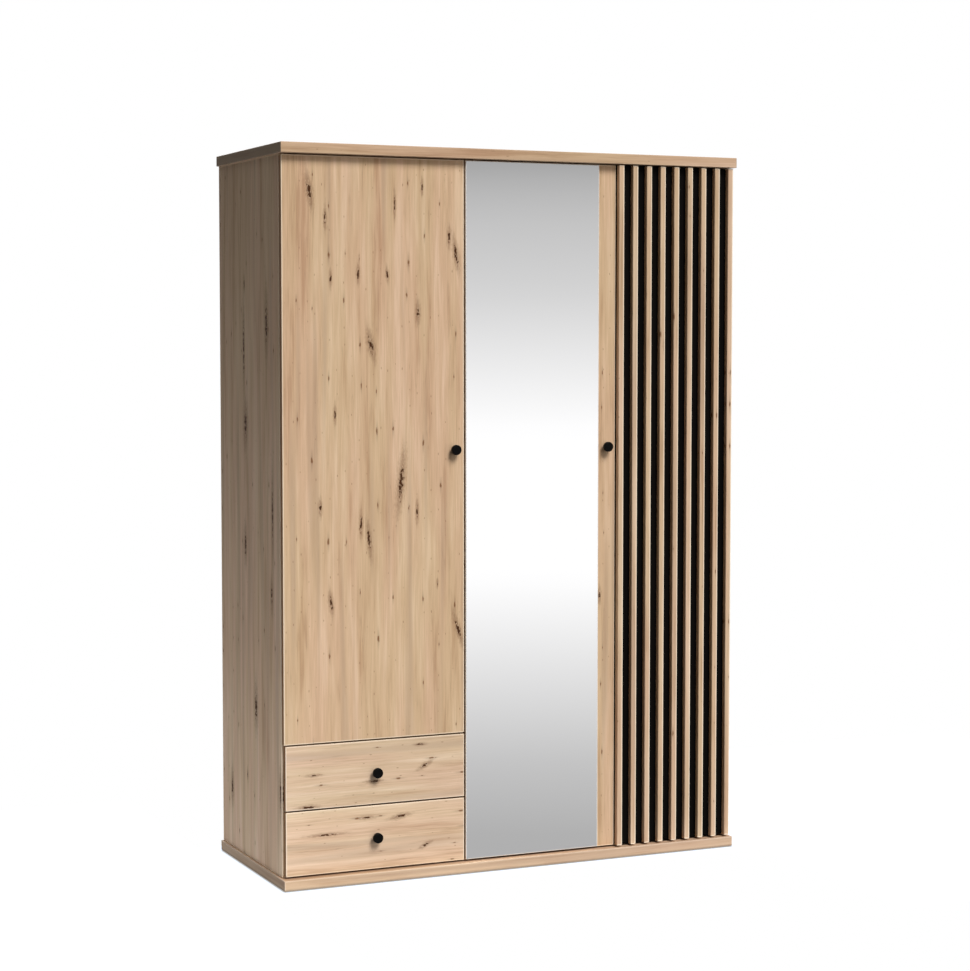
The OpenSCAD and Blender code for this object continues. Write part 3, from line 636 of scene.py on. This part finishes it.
OAK_PIECES = {
    "top_board": {
        "grain": "x",
        "knotty": 0.4,
        "highlight_line": 0.1,
        "end_tone": 0.46,
        "cast": (0.94, 0.94, 0.96),
    },
    "base_board": {
        "grain": "x",
        "knotty": 0.4,
        "highlight_line": 0.3,
        "end_tone": 0.74,
        "cast": (0.93, 0.92, 0.95),
    },
    "left_side_panel": {"grain": "z", "knots": SIDE_PANEL_KNOTS, "knotty": 0.5},
    "right_side_panel": {"grain": "z"},
    "partition": {"grain": "z"},
    "drawer_shelf": {"grain": "x"},
    "shelf_lower": {"grain": "x"},
    "shelf_middle": {"grain": "x"},
    "shelf_upper": {"grain": "x"},
    "hat_shelf": {"grain": "x"},
    "left_door_panel": {
        "grain": "z",
        "knots": LEFT_DOOR_KNOTS,
        "knotty": 0.85,
        "gap_shade_cast": PAINTED_GAP_SHADE,
    },
    "mirror_door_panel": {"grain": "z", "gap_shade_cast": PAINTED_GAP_SHADE},
    # The slats get the painted highlight line at full strength, on their right edges only, where
    # the light from the right catches them
    "door_slats": {
        "grain": "z",
        "knotty": 0.4,
        "highlight_line": 1.0,
        "cast": (0.98, 0.99, 1.02),
        "period": (slat_pitch, SLAT_WIDTH),
    },
    # Painted light: the drawer fronts' casts make them brighter and cooler, the lower one most,
    # for the extra light near the floor
    "upper_drawer_front": {
        "grain": "x",
        "knots": UPPER_FRONT_KNOTS,
        "highlight_line": 0.45,
        "gap_shade_cast": PAINTED_GAP_SHADE,
        "cast": (1.07, 1.13, 1.22),
    },
    "lower_drawer_front": {
        "grain": "x",
        "knots": LOWER_FRONT_KNOTS,
        "highlight_line": 0.45,
        "gap_shade_cast": PAINTED_GAP_SHADE,
        "cast": (1.14, 1.21, 1.30),
    },
}

NICKEL = ((0.46, 0.45, 0.43), (0.64, 0.63, 0.61))
ZINC = ((0.40, 0.42, 0.45), (0.60, 0.62, 0.65))
SLOT_MATERIALS = {
    "black_board": black_board("black_board"),
    "mirror_glass": mirror_glass("mirror_glass"),
    "foam_tape": foam_tape("foam_tape"),
    "black_metal": powder_coat("black_metal"),
    "nickel_steel": plated_steel("nickel_steel", *NICKEL, rough=0.22, spangle=0.0),
    "zinc_steel": plated_steel("zinc_steel", *ZINC, rough=0.30, spangle=0.6),
    "chrome_rail": chrome("chrome_rail"),
    "hardboard": hardboard("hardboard"),
    "drawer_board": drawer_board("drawer_board"),
    "birch_dowel": birch("birch_dowel"),
    "white_plastic": moulded_plastic("white_plastic"),
}


def dress_pieces():
    """Gives each CAD node the material of its record slot, and each oak piece its own cut."""
    for seed, subpart in enumerate(frame["record"]["subparts"], 1):
        name = subpart["node"]
        if name in OAK_PIECES:
            material = oak(name, seed=seed, **OAK_PIECES[name])
        else:
            material = SLOT_MATERIALS[subpart["material_slot"]]
        for slot in frame["nodes"][name].material_slots:
            slot.material = material


# ---- Studio ----

FLOOR_SIDE = 2.4
WING_DEPTH = 1.1
FLOOR_MARGIN = 0.06
FLOOR_COLOUR = (0.10, 0.10, 0.10, 1.0)
FLOOR_GLOW = 0.96
COOL_WHITE = (1.0, 1.10, 1.28)
WARM_SHADE = (1.0, 0.95, 0.88)
CONTACT_REACH = 0.007
CONTACT_SHADE = 0.55
AMBIENT = (0.036, 0.029, 0.020, 1.0)
WHITE = (1.0, 1.0, 1.0, 1.0)

# The horizon that the mirror shows: (sine of the elevation, brightness)
HORIZON = [
    (-0.800, 0.900),
    (-0.450, 0.680),
    (-0.300, 0.540),
    (-0.215, 0.470),
    (-0.183, 0.600),
    (-0.141, 0.860),
    (-0.103, 1.100),
    (-0.040, 1.100),
    (-0.022, 0.985),
    (0.021, 0.715),
    (0.052, 0.595),
    (0.066, 0.510),
    (0.078, 0.400),
    (0.300, 0.520),
    (0.800, 0.700),
]

# Lens and sensor in millimetres, place in metres, angles in degrees
LENS = 85.0
SENSOR_WIDTH = 36.0
CAMERA_PLACE = (-2.6734, -6.0369, 1.4798)
LOOK_DOWN = 3.64
LOOK_RIGHT = 24.07


def make_floor():
    """A pale floor lit from below like a light table, so that shadows stay soft. It is narrow
    in front of the doors, which stay evenly lit, and deep beside the wardrobe."""
    inner = cad_high.x + FLOOR_MARGIN
    middle_depth = cad_high.y + FLOOR_MARGIN
    strips = [
        (-FLOOR_SIDE, -inner, WING_DEPTH),
        (-inner, inner, middle_depth),
        (inner, FLOOR_SIDE, WING_DEPTH),
    ]
    corners = []
    for left, right, depth in strips:
        corners += [(left, -depth, 0), (right, -depth, 0), (right, depth, 0), (left, depth, 0)]
    faces = [range(first, first + 4) for first in range(0, len(corners), 4)]
    mesh = bpy.data.meshes.new("floor")
    mesh.from_pydata(corners, [], faces)
    floor = bpy.data.objects.new("floor", mesh)
    bpy.context.scene.collection.objects.link(floor)
    floor.visible_glossy = False
    tree = Tree("floor")
    # Painted contact shadow: the floor's glow dims and turns warm where the wardrobe stands
    # close
    contact_shadow = tree.step(tree.openness(CONTACT_REACH), 0.95, 0.45)
    tree.surface(
        base_color=FLOOR_COLOUR,
        roughness=0.9,
        specular_ior_level=0.0,
        emission_color=tree.mix(contact_shadow, COOL_WHITE, WARM_SHADE),
        emission_strength=(1 - contact_shadow * CONTACT_SHADE) * FLOOR_GLOW,
    )
    mesh.materials.append(tree.material)


def make_world():
    """White to the eye, dim as a light, and a bright horizon in reflections."""
    world = bpy.data.worlds.new("studio")
    bpy.context.scene.world = world
    world.use_nodes = True
    nodes, links = world.node_tree.nodes, world.node_tree.links
    background = nodes["Background"]
    rays = nodes.new("ShaderNodeLightPath")
    direction = nodes.new("ShaderNodeTexCoord")
    parts = nodes.new("ShaderNodeSeparateXYZ")
    links.new(direction.outputs["Generated"], parts.inputs[0])
    lowest, highest = HORIZON[0][0], HORIZON[-1][0]
    height = nodes.new("ShaderNodeMapRange")
    height.inputs["From Min"].default_value = lowest
    height.inputs["From Max"].default_value = highest
    links.new(parts.outputs["Z"], height.inputs["Value"])
    ramp = nodes.new("ShaderNodeValToRGB")
    stops = ramp.color_ramp.elements
    while len(stops) < len(HORIZON):
        stops.new(1.0)
    for stop, (sine, bright) in zip(stops, HORIZON):
        stop.position = (sine - lowest) / (highest - lowest)
        stop.color = (bright, bright, bright, 1.0)
    links.new(height.outputs[0], ramp.inputs[0])
    by_gloss = nodes.new("ShaderNodeMix")
    by_gloss.data_type = "RGBA"
    by_gloss.inputs[MIX_FIRST].default_value = AMBIENT
    links.new(rays.outputs["Is Glossy Ray"], by_gloss.inputs[MIX_SHARE])
    links.new(ramp.outputs[0], by_gloss.inputs[MIX_SECOND])
    by_eye = nodes.new("ShaderNodeMix")
    by_eye.data_type = "RGBA"
    by_eye.inputs[MIX_SECOND].default_value = WHITE
    links.new(rays.outputs["Is Camera Ray"], by_eye.inputs[MIX_SHARE])
    links.new(by_gloss.outputs[MIX_RESULT], by_eye.inputs[MIX_FIRST])
    links.new(by_eye.outputs[MIX_RESULT], background.inputs["Color"])


def soft_light(name, energy, softness, above, to_right, in_mirror=True):
    """Distant soft light from so many degrees above the floor and to the right of the front."""
    data = bpy.data.lights.new(name, "SUN")
    data.energy = energy
    data.angle = math.radians(softness)
    light = bpy.data.objects.new(name, data)
    light.rotation_euler = (math.radians(90.0 - above), 0.0, math.radians(to_right))
    light.visible_glossy = in_mirror
    bpy.context.scene.collection.objects.link(light)


def make_camera():
    """Eye height, to the left of the front, on a long lens."""
    data = bpy.data.cameras.new("camera")
    data.lens = LENS
    data.sensor_width = SENSOR_WIDTH
    camera = bpy.data.objects.new("camera", data)
    camera.location = CAMERA_PLACE
    camera.rotation_euler = (math.radians(90.0 - LOOK_DOWN), 0.0, math.radians(-LOOK_RIGHT))
    bpy.context.scene.collection.objects.link(camera)
    bpy.context.scene.camera = camera


dress_pieces()
make_floor()
make_world()
soft_light("key", energy=3.30, softness=26.0, above=48.0, to_right=15.0)
soft_light("fill", energy=0.84, softness=60.0, above=6.0, to_right=22.0, in_mirror=False)
soft_light("back", energy=2.20, softness=40.0, above=35.0, to_right=180.0)
make_camera()
bpy.context.scene.view_settings.view_transform = "Standard"
